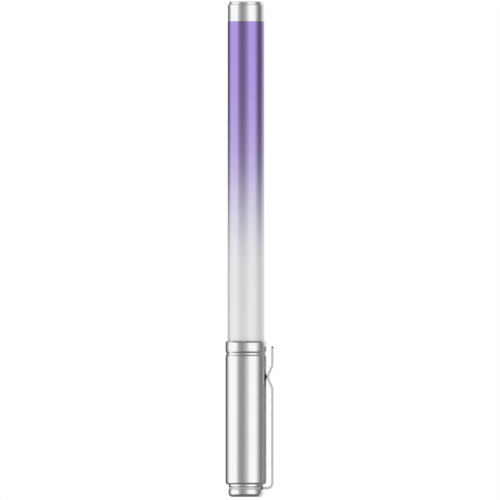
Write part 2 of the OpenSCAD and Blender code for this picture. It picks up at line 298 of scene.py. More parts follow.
def link_or_set(tree, socket, value):
    """Links a node's output to a socket, or sets the socket to a plain value."""
    if isinstance(value, bpy.types.NodeSocket):
        tree.links.new(value, socket)
    else:
        socket.default_value = value


def add(tree, kind, settings=None, **inputs):
    """A new node with its inputs set or linked. An input's name has _ for each space."""
    made = tree.nodes.new(kind)
    for key, value in (settings or {}).items():
        setattr(made, key, value)
    for key, value in inputs.items():
        link_or_set(tree, made.inputs[key.replace("_", " ")], value)
    return made


def maths(tree, operation, a, b=0.0, c=0.0):
    """One step of arithmetic."""
    made = add(tree, "ShaderNodeMath", {"operation": operation})
    for socket, value in zip(made.inputs, (a, b, c)):
        link_or_set(tree, socket, value)
    return made.outputs[0]


def mixed(tree, factor, a, b):
    """A colour between a and b."""
    made = add(tree, "ShaderNodeMix", {"data_type": "RGBA"})
    link_or_set(tree, made.inputs[0], factor)
    link_or_set(tree, made.inputs[6], a)
    link_or_set(tree, made.inputs[7], b)
    return made.outputs[2]


def ranged(tree, value, low, high, from_low=0.0, from_high=1.0, smooth=False):
    """value, mapped from one range to another and held inside it."""
    settings = {"interpolation_type": "SMOOTHSTEP"} if smooth else {}
    made = add(tree, "ShaderNodeMapRange", settings, Value=value, From_Min=from_low, From_Max=from_high,
               To_Min=low, To_Max=high)
    return made.outputs[0]


def rgb(*values):
    """An opaque colour."""
    return (*values, 1.0)


def grey(brightness):
    return rgb(brightness, brightness, brightness)


def grey_ramp(tree, share, stops):
    """A smooth grey scale. Each stop is a place from 0 to 1 and a brightness."""
    made = tree.nodes.new("ShaderNodeValToRGB")
    made.color_ramp.interpolation = "B_SPLINE"
    elements = made.color_ramp.elements
    while len(elements) > 1:
        elements.remove(elements[-1])
    for i, (at, brightness) in enumerate(stops):
        stop = elements.new(at) if i else elements[0]
        stop.position = at
        stop.color = grey(brightness)
    tree.links.new(share, made.inputs[0])
    return made.outputs[0]


def place(tree):
    """The point's own place in the part, in metres."""
    return add(tree, "ShaderNodeTexCoord").outputs["Object"]


def noise(tree, where, detail=3.0):
    """A fine noise from 0 to 1."""
    return add(tree, "ShaderNodeTexNoise", Vector=where, Scale=1.0, Detail=detail, Roughness=0.55).outputs[0]


def grain(tree, per_metre, detail=3.0):
    """A noise over the piece. per_metre gives how many features a metre holds along X, Y and Z."""
    scaled = add(tree, "ShaderNodeVectorMath", {"operation": "MULTIPLY"})
    tree.links.new(place(tree), scaled.inputs[0])
    scaled.inputs[1].default_value = per_metre
    return noise(tree, scaled.outputs[0], detail)


def turned_marks(tree):
    """A lathe's fine marks, from 0 to 1: rings on a wall, and circles on an end face."""
    per_metre, drift = 7000, 260
    xyz = add(tree, "ShaderNodeSeparateXYZ", Vector=place(tree)).outputs
    flat = add(tree, "ShaderNodeCombineXYZ", X=xyz["X"], Y=xyz["Y"]).outputs[0]
    radius = add(tree, "ShaderNodeVectorMath", {"operation": "LENGTH"}, Vector=flat).outputs["Value"]
    across = maths(tree, "MULTIPLY_ADD", radius, per_metre, maths(tree, "MULTIPLY", xyz["X"], drift))
    along = maths(tree, "MULTIPLY_ADD", xyz["Z"], per_metre, maths(tree, "MULTIPLY", xyz["Y"], drift))
    where = add(tree, "ShaderNodeCombineXYZ", X=across, Y=along).outputs[0]
    return noise(tree, where)


def finish(name, colour, roughness, metallic=0.0, per_metre=(3000, 3000, 3000), spread=0.05,
           rough_spread=0.06, relief=0.12, coat=0.0, worn=None, paint=None, marks=None):
    """A Principled material. Its colour, roughness and relief vary with a fine grain, and its roughness
    and wear with a slow unevenness too. worn is the colour of its worn edges, paint(tree, colour) may
    change its colour, and marks(tree) may give the grain."""
    material = bpy.data.materials.new(name)
    material.use_nodes = True
    tree = material.node_tree
    surface = tree.nodes["Principled BSDF"]
    fine = marks(tree) if marks else grain(tree, per_metre)
    slow = grain(tree, (90, 90, 60), detail=2.0)
    darker = rgb(*(channel * (1 - spread) for channel in colour[:3]))
    lighter = rgb(*(min(channel * (1 + spread), 1) for channel in colour[:3]))
    shade = mixed(tree, fine, darker, lighter)
    if paint:
        shade = paint(tree, shade)
    rough = ranged(tree, fine, roughness - rough_spread, roughness + rough_spread, 0.25, 0.75)
    rough = maths(tree, "ADD", rough, ranged(tree, slow, -0.02, 0.02, 0.3, 0.7))
    if worn:
        wear = add(tree, "ShaderNodeAttribute", {"attribute_name": "wear"}).outputs["Fac"]
        patchy = maths(tree, "MULTIPLY", wear, ranged(tree, slow, 0.35, 1.0, 0.35, 0.65))
        shade = mixed(tree, patchy, shade, worn)
        rough = maths(tree, "SUBTRACT", rough, maths(tree, "MULTIPLY", patchy, 0.05))
    tree.links.new(shade, surface.inputs["Base Color"])
    tree.links.new(rough, surface.inputs["Roughness"])
    surface.inputs["Metallic"].default_value = metallic
    surface.inputs["Coat Weight"].default_value = coat
    surface.inputs["Coat Roughness"].default_value = 0.12
    bump = add(tree, "ShaderNodeBump", Strength=relief, Distance=RELIEF_DEPTH, Height=fine)
    tree.links.new(bump.outputs[0], surface.inputs["Normal"])
    return material


# ---------------------------------------------------------------- materials

BRUSHED_ALONG = (4200, 4200, 130)  # lines along the part


def satin_aluminium():
    return finish("satin_aluminium", rgb(0.91, 0.91, 0.915), 0.17, metallic=1.0, marks=turned_marks,
                  spread=0.02, rough_spread=0.03, relief=0.05, worn=rgb(0.95, 0.95, 0.955))


def spring_steel():
    return finish("spring_steel", rgb(0.84, 0.845, 0.85), 0.40, metallic=0.8, per_metre=BRUSHED_ALONG,
                  spread=0.09, rough_spread=0.09, relief=0.18, worn=rgb(0.9, 0.9, 0.905))


# How violet the tube is, by its share of the way up from the collar to the end cap
VIOLET_FADE = [
    (0.14, 0.0), (0.27, 0.04), (0.36, 0.17), (0.50, 0.61), (0.60, 0.83), (0.72, 0.94), (0.88, 1.0),
]


def pearl_diffuser(z_low, z_high):
    """Pearl lacquer over the tube: metallic violet above, fading to white at the foot."""
    material = finish("pearl_diffuser", rgb(0.86, 0.86, 0.87), 0.15, per_metre=(5200, 5200, 5200),
                      spread=0.015, rough_spread=0.03, relief=0.04, coat=0.08)
    tree = material.node_tree
    surface = tree.nodes["Principled BSDF"]
    z = add(tree, "ShaderNodeSeparateXYZ", Vector=place(tree)).outputs["Z"]
    fade = grey_ramp(tree, ranged(tree, z, 0.0, 1.0, z_low * MM, z_high * MM), VIOLET_FADE)
    flakes = ranged(tree, grain(tree, (9000, 9000, 9000), detail=1.0), 0.0, 1.0, 0.3, 0.7)
    violet = mixed(tree, flakes, rgb(0.41, 0.295, 0.715), rgb(0.45, 0.33, 0.78))
    white = surface.inputs["Base Color"].links[0].from_socket
    tree.links.new(mixed(tree, fade, white, violet), surface.inputs["Base Color"])
    tree.links.new(ranged(tree, fade, 0.2, 1.0), surface.inputs["Metallic"])
    return material


def seal_rubber():
    return finish("seal_rubber", rgb(0.025, 0.025, 0.028), 0.55, per_metre=(6000, 6000, 6000), spread=0.2,
                  relief=0.3)


def contact_brass():
    return finish("contact_brass", rgb(0.83, 0.63, 0.28), 0.24, metallic=1.0, per_metre=(2500, 2500, 2500),
                  spread=0.06, worn=rgb(0.92, 0.76, 0.42))


def gold_wire():
    return finish("gold_wire", rgb(0.90, 0.70, 0.34), 0.2, metallic=1.0, per_metre=(4000, 4000, 4000),
                  spread=0.05, relief=0.05)


def nickel():
    return finish("nickel", rgb(0.70, 0.69, 0.67), 0.18, metallic=1.0, per_metre=(1500, 1500, 1500),
                  spread=0.05, worn=rgb(0.85, 0.84, 0.82))


def shrink_wrap(z_low, z_high):
    """A plain two-tone sleeve: dark grey with a pale band at the positive end."""
    band_from = z_high - 0.2 * (z_high - z_low)

    def paint(tree, shade):
        z = add(tree, "ShaderNodeSeparateXYZ", Vector=place(tree)).outputs["Z"]
        pale = maths(tree, "GREATER_THAN", z, band_from * MM)
        return mixed(tree, pale, shade, rgb(0.72, 0.72, 0.70))

    return finish("shrink_wrap", rgb(0.07, 0.075, 0.085), 0.28, per_metre=(700, 700, 700), spread=0.12,
                  relief=0.15, coat=0.3, paint=paint)


def cell_paste():
    return finish("cell_paste", rgb(0.05, 0.05, 0.052), 0.7, per_metre=(5000, 5000, 5000), spread=0.3,
                  relief=0.5)


def circuit_board(name, mask, copper, lines_per_metre):
    """Solder mask over straight copper tracks along the part."""

    def paint(tree, shade):
        x = add(tree, "ShaderNodeSeparateXYZ", Vector=place(tree)).outputs["X"]
        wave = maths(tree, "SINE", maths(tree, "MULTIPLY", x, math.tau * lines_per_metre))
        tracks = ranged(tree, wave, 0.0, 1.0, 0.55, 0.65)
        return mixed(tree, maths(tree, "MULTIPLY", tracks, 0.6), shade, copper)

    return finish(name, mask, 0.34, per_metre=(2600, 2600, 2600), spread=0.05, relief=0.1, coat=0.35,
                  paint=paint)


def moulded(name, colour, roughness=0.5):
    return finish(name, colour, roughness, per_metre=(3500, 3500, 3500), spread=0.06, relief=0.2)


def phosphor():
    return finish("phosphor", rgb(0.88, 0.72, 0.16), 0.42, per_metre=(9000, 9000, 9000), spread=0.12,
                  relief=0.15)


def tinned():
    return finish("tinned", rgb(0.74, 0.74, 0.73), 0.3, metallic=1.0, per_metre=(3000, 3000, 3000),
                  spread=0.08)


# ---------------------------------------------------------------- pieces in the place of CAD nodes


def stand_for(piece, node, *materials):
    """piece takes the place of a CAD node, on that node's body, with the given materials in its own slots."""
    for material in materials:
        piece.data.materials.append(material)
    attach(piece, BODY_OF[node])
    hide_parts(node)
    return piece


def turned_node(node, making, outline, material, broken=MICRO, facets=SMALL_FACETS, shape=None):
    """A turned piece in the place of a CAD node. Its name says how it is made."""
    return stand_for(turned(f"{node}_{making}", outline, broken, facets, shape), node, material)


def disc_node(node, making, material, broken=MICRO):
    """A CAD node that is a plain disc or rod, with broken edges."""
    low, high = box_mm(node)
    outline = [(0, low.z), (high.x, low.z), (high.x, high.z), (0, high.z)]
    return turned_node(node, making, outline, material, broken)


def seal_node(node, rubber):
    """An O-ring that fills its CAD node."""
    low, high = box_mm(node)
    minor = (high.z - low.z) / 2
    major = high.x - minor
    z = (high.z + low.z) / 2
    steps = 28
    angles = [math.tau * k / steps for k in range(steps)]
    outline = [(major + minor * math.cos(a), z + minor * math.sin(a), 0) for a in angles]
    return turned_node(node, "moulded", outline, rubber, broken=0, facets=TURNED_FACETS)


def paint_node(node, material):
    """A CAD node whose shape is right keeps it and takes a material."""
    node_object = frame["nodes"][node]
    node_object.data.materials.clear()
    node_object.data.materials.append(material)


# ---------------------------------------------------------------- the tail


def make_tail_cap(metal):
    """The screwed cap: a rounded flange, a seal groove, a threaded plug and a cup for the spring."""
    high = box_mm("tail_cap")[1]
    flange_top = box_mm("clip_ring")[0].z
    plug_r, cup_r, cup_floor, undercut, lead_in = 5.7, 4.5, 1.5, 0.1, 0.3
    seal_low, seal_high, groove_r = box_mm("tail_o_ring")[0].z, box_mm("tail_o_ring")[1].z, 5.0
    groove_side = 0.09
    thread_low, thread_high = seal_high + groove_side + 0.15, high.z - 0.35
    outline = [
        (0, 0), (high.x, 0, 1.5), (high.x, flange_top, 0.15),
        (plug_r - undercut, flange_top, 0), (plug_r - undercut, seal_low - groove_side),
        (groove_r, seal_low - groove_side), (groove_r, seal_high + groove_side),
        (plug_r, seal_high + groove_side), *thread_rows(plug_r, thread_low, thread_high),
        (plug_r - lead_in, high.z, 0.1), (cup_r, high.z), (cup_r, cup_floor, 0.2), (0, cup_floor),
    ]
    shape = thread(plug_r, 0.35, thread_low, thread_high)
    return turned_node("tail_cap", "turned", outline, metal, facets=TURNED_FACETS, shape=shape)


def make_contact_plate(brass):
    """The brass disc under the spring, with a shallow pressed ring."""
    low, high = box_mm("contact_plate")
    pressed = high.z - 0.1
    outline = [
        (0, low.z), (high.x, low.z), (high.x, high.z), (2.9, high.z, 0.1), (2.75, pressed, 0.1),
        (1.9, pressed, 0.1), (1.75, high.z, 0.1), (0, high.z),
    ]
    return turned_node("contact_plate", "turned", outline, brass, broken=0.04)


def make_contact_spring(gold):
    """The conical spring, close-wound at both ends. It stretches between the cap and the cell."""
    low, high = box_mm("contact_spring")
    wire_r, base_r, tip_r, turns, a_turn = 0.29, 3.6, 2.4, 5.5, 36
    rise = high.z - low.z - 2 * wire_r
    close = 2 * wire_r + 0.04
    open_pitch = (rise - 2 * close) / (turns - 2)
    path = []
    count = round(turns * a_turn)
    for i in range(count + 1):
        t = turns * i / count
        open_turns = min(max(t - 1, 0), turns - 2)
        z = low.z + wire_r + (t - open_turns) * close + open_turns * open_pitch
        r = base_r + (tip_r - base_r) * t / turns
        path.append(Vector((r * math.cos(math.tau * t), r * math.sin(math.tau * t), z)))
    bm = bmesh.new()
    wire(bm, path, wire_r)
    piece = finish_mesh("contact_spring_wound", bm, weld=1e-6)
    piece.data.materials.append(gold)
    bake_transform(piece)
    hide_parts("contact_spring")
    return piece


# ---------------------------------------------------------------- the cell


def make_cell_can(steel):
    """The drawn can, with a shallow step in its flat end."""
    low, high = box_mm("cell_can")
    wall, seat = 0.2, 0.12
    outline = [
        (0, low.z + seat), (3.3, low.z + seat, 0.1), (3.5, low.z, 0.1), (high.x, low.z, 0.3),
        (high.x, high.z, 0.05), (high.x - wall, high.z, 0.05), (high.x - wall, low.z + wall, 0.2),
        (0, low.z + wall),
    ]
    return turned_node("cell_can", "drawn", outline, steel)


def make_cell_seal(nylon):
    """The ring that closes the can, with a shallow groove in its top."""
    low, high = box_mm("cell_seal")
    hole, groove = 2.6, high.z - 0.12
    outline = [
        (hole, low.z), (high.x, low.z), (high.x, high.z), (4.3, high.z, 0.1), (4.1, groove, 0.1),
        (3.4, groove, 0.1), (3.2, high.z, 0.1), (hole, high.z),
    ]
    return turned_node("cell_seal", "moulded", outline, nylon)


def make_cell_tip(steel):
    """The positive end: a flange and a nub."""
    low, high = box_mm("cell_tip")
    nub_r = 1.9
    flange, nub_foot = low.z + 0.4, low.z + 0.5
    outline = [
        (0, low.z), (high.x, low.z), (high.x, flange, 0.1), (nub_r, nub_foot, 0.08), (nub_r, high.z, 0.3),
        (0, high.z),
    ]
    return turned_node("cell_tip", "pressed", outline, steel)


def make_cell_wrap(wrap):
    """The shrunk sleeve, which folds over the can's rim."""
    low, high = box_mm("cell_wrap")
    can_high = box_mm("cell_can")[1]
    clear = 0.01
    inner, fold_r, fold_z = can_high.x + clear, 4.5, can_high.z + clear
    outline = [
        (inner, low.z), (high.x, low.z), (high.x, high.z, 0.14), (fold_r, high.z), (fold_r, fold_z),
        (inner, fold_z, 0),
    ]
    return turned_node("cell_wrap", "shrunk", outline, wrap, broken=0.03)


# ---------------------------------------------------------------- the barrel and its clip


def make_barrel(metal):
    """The battery barrel: a narrow neck, a rounded shoulder, and a bore in steps for cell and collar."""
    low, high = box_mm("barrel")
    neck_r, neck_h, neck_edge = box_mm("tail_cap")[1].x, 1.0, 0.25
    shoulder = low.z + neck_h
    skirt_low = box_mm("head_collar")[0].z - 0.4
    plug_bore, cell_bore, skirt_bore, mouth_bore = 5.75, 5.5, 6.35, 6.55
    plug_end = box_mm("tail_cap")[1].z + 0.4
    mouth = high.z - 1.6
    thread_low, thread_high = low.z + 1.6, plug_end - 0.2
    outline = [
        (plug_bore, low.z, 0.1), (neck_r - neck_edge, low.z), (neck_r, low.z + neck_edge),
        (neck_r, shoulder, 0.1), (high.x, shoulder, 0.9), (high.x, high.z - GROOVE_RISE),
        (high.x - GROOVE_EDGE, high.z), (mouth_bore, high.z), (mouth_bore, mouth, 0),
        (skirt_bore, mouth - 0.2, 0), (skirt_bore, skirt_low), (cell_bore, skirt_low),
        (cell_bore, plug_end + 0.25), (plug_bore, plug_end),
        *thread_rows(plug_bore, thread_high, thread_low),
    ]
    shape = thread(plug_bore, -0.3, thread_low, thread_high)
    return turned_node("barrel", "turned", outline, metal, facets=TURNED_FACETS, shape=shape)


def arc_path(cx, cz, radius, from_deg, to_deg, steps):
    """Points (x, z, heading) on an arc in the XZ plane."""
    turning = math.pi / 2 if to_deg > from_deg else -math.pi / 2
    points = []
    for k in range(steps + 1):
        a = math.radians(from_deg + (to_deg - from_deg) * k / steps)
        points.append((cx + radius * math.cos(a), cz + radius * math.sin(a), a + turning))
    return points


def combine(piece, other, operation):
    """Joins other to piece, or cuts it out, and removes it. Its faces keep their material."""
    change = piece.modifiers.new("change", "BOOLEAN")
    change.operation, change.solver, change.object = operation, "EXACT", other
    change.material_mode = "TRANSFER"
    piece.modifiers.move(len(piece.modifiers) - 1, 0)
    changed = piece.evaluated_get(bpy.context.evaluated_depsgraph_get())
    piece.data = bpy.data.meshes.new_from_object(changed)
    piece.modifiers.remove(change)
    bpy.data.objects.remove(other)


def roll_end(x, y, z, dark):
    """A short pin along Y, cut out as the hollow in the end of the clip's rolled tip. Its near-black material
    paints shadow on the hollow's walls.
    """
    hollow_r, half_depth, facets = 0.27, 0.5, 24
    bm = bmesh.new()
    ends = (y - half_depth, y + half_depth)
    skin(bm, [[Vector((x + p.x, end, z + p.y)) for p in circle(hollow_r, 0, facets)] for end in ends])
    pin = finish_mesh("roll_hollow", bm)
    pin.data.materials.append(dark)
    return pin


def make_contact_shade_pad(rubber):
    """A black domed pad on the barrel, which the clip's bend rests on. Its black is painted shade: a dark
    piece put where the contact between the bend and the barrel falls into shade.
    """
    low, high = box_mm("clip_pad")
    width, height, middle = high.y - low.y, high.z - low.z, (low.z + high.z) / 2
    wall_r = box_mm("barrel")[1].x + 0.01
    dome_r, corner, edge, lip = 6.5, 0.9, 0.05, 0.03

    def on_wall(y, z):
        return math.sqrt(wall_r ** 2 - y ** 2)

    def on_dome(y, z):
        return max(high.x - dome_r + math.sqrt(dome_r ** 2 - y ** 2 - z ** 2), on_wall(y, z) + lip)

    def loop(share, inset, x_at, drop=0.0):
        outline = rectangle(width * share - 2 * inset, height * share - 2 * inset, corner * share, steps=6)
        return [Vector((x_at(y, z) - drop, y, middle + z)) for y, z in outline]

    shares = [0.05, 0.25, 0.5, 0.75]
    loops = [loop(share, 0, on_wall) for share in shares + [1]]
    loops += [loop(1, 0, on_dome, lip), loop(1, edge / 3, on_dome, lip / 4), loop(1, edge, on_dome)]
    loops += [loop(share, 0, on_dome) for share in reversed(shares)]
    bm = bmesh.new()
    skin(bm, loops)
    return stand_for(finish_mesh("clip_pad_painted_shade", bm), "clip_pad", rubber)


def clip_path(ring_r, foot_z, strip_x, thick):
    """Points (x, z, heading) along the middle of the clip's strip, from its ring to the end of its tip."""
    foot_bend, bend_r, corner_r, slope = 1.9, 3.0, 1.2, 25
    pad_low, pad_high = box_mm("clip_pad")
    roll_z = box_mm("clip_arm")[1].z - CLIP_TIP_R
    bend_z = (pad_low.z + pad_high.z) / 2
    pad_gap = 0.02
    depth = strip_x - thick / 2 - pad_high.x - pad_gap
    run = depth - (bend_r + corner_r) * (1 - math.cos(math.radians(slope)))
    half_h = (bend_r + corner_r) * math.sin(math.radians(slope)) + run / math.tan(math.radians(slope))
    path = [(ring_r - 0.25, foot_z, 0.0), (strip_x - foot_bend - 0.4, foot_z, 0.0)]
    path += arc_path(strip_x - foot_bend, foot_z + foot_bend, foot_bend, -90, 0, 14)
    path += arc_path(strip_x - corner_r, bend_z - half_h, corner_r, 0, slope, 6)
    path += arc_path(strip_x - depth + bend_r, bend_z, bend_r, 180 + slope, 180 - slope, 16)
    path += arc_path(strip_x - corner_r, bend_z + half_h, corner_r, -slope, 0, 6)
    roll = [-1.0, -0.8, -0.6, -0.4, -0.2, 0.0, 0.3, 0.55, 0.75, 0.9, 0.98]
    return path + [(strip_x, roll_z + CLIP_TIP_R * share, math.pi / 2) for share in roll]


def clip_strip(path, thick, steel):
    """The clip's strip along its path. It narrows towards the tip, where it ends in a roll."""
    low, high = box_mm("clip_arm")
    foot_w, taper_from, corner, end_round = high.y - low.y, 8.0, 0.16, 0.5
    loops, wear = [], []
    for x, z, heading in path:
        taper = min(max((z - taper_from) / (high.z - taper_from), 0), 1)
        width = foot_w + (CLIP_TIP_W - foot_w) * taper
        half_t = thick / 2
        above = (z - high.z + CLIP_TIP_R) / CLIP_TIP_R  # from the roll's middle, in its radii
        if above > -1:
            roll = CLIP_TIP_R * math.sqrt(max(1 - above ** 2, 0))
            half_t = roll if above > 0 else max(half_t, roll)
            width -= 2 * end_round * (1 - math.sqrt(max(1 - max(above, 0) ** 2, 0)))
        middle = Vector((x, 0, z))
        normal = Vector((-math.sin(heading), 0, math.cos(heading)))
        section = rectangle(width, 2 * half_t, corner)
        loops.append([middle + normal * out + Vector((0, across, 0)) for across, out in section])
        wear.append(1.0 if above > -1 else 0.0)
    bm = bmesh.new()
    skin(bm, loops, wear=wear)
    strip = finish_mesh("clip_stamped", bm, weld=1e-6)
    strip.data.materials.append(steel)
    return strip


def make_clip(steel, dark):
    """The pocket clip as one stamping: clamped ring, foot, arm with its bend, and rolled tip."""
    ring_low, ring_high = box_mm("clip_ring")
    ring_bore, ring_r, foot_z = 5.8, -ring_low.x, (ring_high.z + ring_low.z) / 2
    arm_high = box_mm("clip_arm")[1]
    strip_x, roll_z = arm_high.x - CLIP_TIP_R, arm_high.z - CLIP_TIP_R
    thick = ring_high.z - ring_low.z
    arm = clip_strip(clip_path(ring_r, foot_z, strip_x, thick), thick, steel)
    outline = [
        (ring_bore, ring_low.z, 0.12), (ring_r, ring_low.z, 0.35), (ring_r, ring_high.z, 0.35),
        (ring_bore, ring_high.z, 0.12),
    ]
    ring = turned("clip_ring_stamped", outline)
    ring.data.materials.append(steel)
    combine(arm, ring, "UNION")
    # blind hollows in the roll's ends, whose walls take the near-black painted shadow
    for side in (-1, 1):
        combine(arm, roll_end(strip_x, side * CLIP_TIP_W / 2, roll_z, dark), "DIFFERENCE")
    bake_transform(arm)
    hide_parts("clip_ring", "clip_arm")
    return arm


# ---------------------------------------------------------------- the head


def make_head_collar(metal):
    """The twist collar: a threaded skirt in the barrel, the groove band, and the socket of the tube."""
    low, high = box_mm("head_collar")
    barrel_top = box_mm("barrel")[1].z
    groove_h, groove_depth = 1.2, 0.35
    band_top = barrel_top + groove_h
    band_r = high.x - groove_depth
    skirt_r, skirt_bore, pilot_r = 6.3, 5.45, 6.5
    seal_low, seal_high, seal_r = box_mm("head_o_ring")[0].z, box_mm("head_o_ring")[1].z, 5.95
    side = 0.085
    socket_r = -box_mm("diffuser_tube")[0].x - 0.28
    socket_z = box_mm("diffuser_tube")[0].z
    shelf_r, shelf_z = 4.7, box_mm("driver_board")[1].z
    thread_low, thread_high = low.z + 0.25, seal_low - side - 0.15
    outline = [
        (skirt_bore, low.z), (skirt_r, low.z, 0.2), *thread_rows(skirt_r, thread_low, thread_high),
        (skirt_r, seal_low - side), (seal_r, seal_low - side), (seal_r, seal_high + side),
        (pilot_r, seal_high + side), (pilot_r, barrel_top, 0), (high.x - GROOVE_EDGE, barrel_top, 0),
        (band_r, barrel_top + GROOVE_RISE, 0.2), (band_r, band_top - GROOVE_RISE, 0.2),
        (high.x - GROOVE_EDGE, band_top, 0.02), (high.x, band_top + GROOVE_RISE),
        (high.x, high.z - 0.6, 0.2), (high.x - 0.25, high.z, 0.12), (socket_r, high.z), (socket_r, socket_z),
        (shelf_r, socket_z), (shelf_r, shelf_z), (skirt_bore, shelf_z),
    ]
    shape = thread(skirt_r, 0.3, thread_low, thread_high)
    return turned_node("head_collar", "turned", outline, metal, facets=TURNED_FACETS, shape=shape)


def make_contact_end(brass, nylon):
    """The positive contact and the ring of plastic that keeps a reversed cell off it."""
    low, high = box_mm("positive_contact")
    outline = [(0, low.z), (1.2, low.z, 0.3), (high.x, low.z + 0.35, 0.2), (high.x, high.z), (0, high.z)]
    turned_node("positive_contact", "turned", outline, brass)

    low, high = box_mm("polarity_guard")
    hole = 2.6
    outline = [(hole, low.z, 0.25), (high.x, low.z, 0.15), (high.x, high.z), (hole, high.z)]
    turned_node("polarity_guard", "moulded", outline, nylon)


def make_driver_parts(black, metal, brown):
    """The coil, the chip with its leads, and two sizes of end-capped parts."""
    z = box_mm("driver_board")[1].z
    coil_at, coil_size, disc_r, disc_h, disc_sunk = Vector((-1.4, 2.1, z)), (2.8, 2.8, 1.5), 1.05, 0.06, 0.03
    chip_at, chip_size, chip_lift = Vector((-1.2, -2.4, z)), (2.2, 1.4, 0.8), Vector((0, 0, 0.1))
    lead_size, lead_from, lead_pitch, lead_reach = (0.2, 0.3, 0.25), -0.8, 0.53, 0.85
    tall, flat = (0.8, 1.6, 0.8), (1.6, 0.8, 0.6)
    bm = bmesh.new()
    standing_block(bm, coil_at, coil_size, broken=0.2)
    top = z + coil_size[2] - disc_sunk
    disc_outline = [(0, top), (disc_r, top), (disc_r, top - disc_h), (0, top - disc_h)]
    middle = Vector((coil_at.x, coil_at.y, 0))
    disc = turned_loops(rounded(disc_outline, 0.02), 32)
    skin(bm, [[middle + point for point in loop] for loop in disc], ends=False, material=1)
    standing_block(bm, chip_at + chip_lift, chip_size, broken=0.06)
    for side in (-1, 1):
        for k in range(4):
            lead_at = chip_at + Vector((lead_from + lead_pitch * k, side * lead_reach, 0))
            standing_block(bm, lead_at, lead_size, broken=0.03, material=1)
    for x, y, size in ((1.2, 2.4, tall), (2.8, 2.4, tall), (1.4, -1.7, flat), (1.4, -3.0, flat)):
        end_capped(bm, Vector((x, y, z)), Vector(size))
    piece = finish_mesh("driver_parts_soldered", bm)
    return stand_for(piece, "driver_parts", black, metal, brown)


def end_capped(bm, at, size):
    """A small ceramic part that stands on at, with a tinned cap at each end of its longer side."""
    cap, proud, overlap = 0.3, 0.03, 0.02  # a cap's length, how far it stands out, and how far it laps over
    along = Vector((1, 0, 0)) if size.x > size.y else Vector((0, 1, 0))
    across = Vector((1, 1, 0)) - along
    length = max(size.x, size.y)
    ceramic = size - 2 * (cap - overlap) * along - 2 * proud * across - Vector((0, 0, proud))
    standing_block(bm, at, ceramic, broken=0.03, material=2)
    for side in (-1, 1):
        end = at + side * (length - cap) / 2 * along
        standing_block(bm, end, size - (length - cap) * along, broken=0.05, material=1)


def make_power_leads(red, black, metal):
    """Two short insulated leads, bared and soldered at both ends."""
    low, high = box_mm("power_leads")
    radius, core_share = 0.34, 0.6
    x, y = high.x - 0.35, high.y - 0.35
    bared = 0.5 / (high.z - low.z)  # the share of a lead that is bare at each end
    shares = [k / 12 for k in range(13)]
    bm = bmesh.new()
    for side, material in ((1, 0), (-1, 1)):
        foot = Vector((side * x, side * y, low.z))
        head = Vector((side * x, side * y, high.z))
        sleeve = [foot.lerp(head, bared + share * (1 - 2 * bared)) for share in shares]
        wire(bm, sleeve, radius, sides=20, up=Vector((0, 1, 0)), material=material)
        core = [foot.lerp(head, share) for share in shares]
        wire(bm, core, radius * core_share, sides=16, up=Vector((0, 1, 0)), material=2)
    piece = finish_mesh("power_leads_soldered", bm, weld=1e-6)
    return stand_for(piece, "power_leads", red, black, metal)


# ---------------------------------------------------------------- the light column


def make_led_board(mask):
    """The long board between the two holders."""
    low, high = box_mm("led_board")
    bm = bmesh.new()
    block(bm, low, high, broken=0.06)
    return stand_for(finish_mesh("led_board_cut", bm), "led_board", mask)


def led_package(bm, z, face_y, side, width, height, depth):
    """One LED: a white frame with broken edges round a dished well of phosphor. side is the way it looks."""
    well_r, dish_r, well_depth, dome, broken, points = 1.15, 1.02, 0.18, 0.07, 0.06, 48

    def squared(w, h, y):
        loop = []
        for k in range(points):
            a = math.tau * k / points
            c, s = math.cos(a), math.sin(a)
            reach = min(w / 2 / max(abs(c), 1e-9), h / 2 / max(abs(s), 1e-9))
            loop.append(Vector((reach * c, face_y + side * y, z + reach * s)))
        return loop

    def ring(r, y):
        return [Vector((p.x, face_y + side * y, z + p.y)) for p in circle(r, 0, points)]

    body = [
        squared(width, height, 0), squared(width, height, depth - broken),
        squared(width - broken, height - broken, depth - broken / 4),
        squared(width - 2 * broken, height - 2 * broken, depth),
        ring(well_r, depth), ring(dish_r, depth - well_depth),
    ]
    skin(bm, body, ends=False)
    bm.faces.new([bm.verts.new(point) for point in body[0]])
    shares = [k / 6 for k in range(7)]
    rises = [depth - well_depth + dome * math.sin(share * math.pi / 2) for share in shares]
    glow = [ring(dish_r * (1 - share), rise) for share, rise in zip(shares, rises)]
    skin(bm, glow, ends=False, material=1)


def led_centres(node):
    """The height of each LED in a row, spaced as its CAD solids are."""
    low, high = box_mm(node)
    count = round((high.z - low.z - LED_HEIGHT) / LED_PITCH) + 1
    return [low.z + LED_HEIGHT / 2 + i * LED_PITCH for i in range(count)]


def make_leds(white, yellow):
    """The row of LEDs on each face of the board."""
    for node, side in (("front_leds", -1), ("rear_leds", 1)):
        low, high = box_mm(node)
        face = high.y if side < 0 else low.y
        bm = bmesh.new()
        for z in led_centres(node):
            led_package(bm, z, face, side, high.x - low.x, LED_HEIGHT, high.y - low.y)
        stand_for(finish_mesh(node + "_packaged", bm), node, white, yellow)


def make_resistors(black, metal):
    """A chip resistor beside every second LED, on both faces."""
    high = box_mm("led_resistors")[1]
    board_y = box_mm("rear_leds")[0].y
    width = 0.8
    pieces = [(-0.55, 0.55, 0.04, 0), (-0.8, -0.5, 0, 1), (0.5, 0.8, 0, 1)]  # foot, top, inset and material
    bm = bmesh.new()
    for side in (1, -1):
        xs = sorted((side * (high.x - width), side * high.x))
        for z in led_centres("rear_leds")[::2]:
            for foot, top, inset, material in pieces:
                ys = sorted((side * board_y, side * (high.y - inset)))
                low_corner = (xs[0] + inset, ys[0], z + foot)
                high_corner = (xs[1] - inset, ys[1], z + top)
                block(bm, low_corner, high_corner, broken=0.04, material=material)
    return stand_for(finish_mesh("led_resistors_soldered", bm), "led_resistors", black, metal)


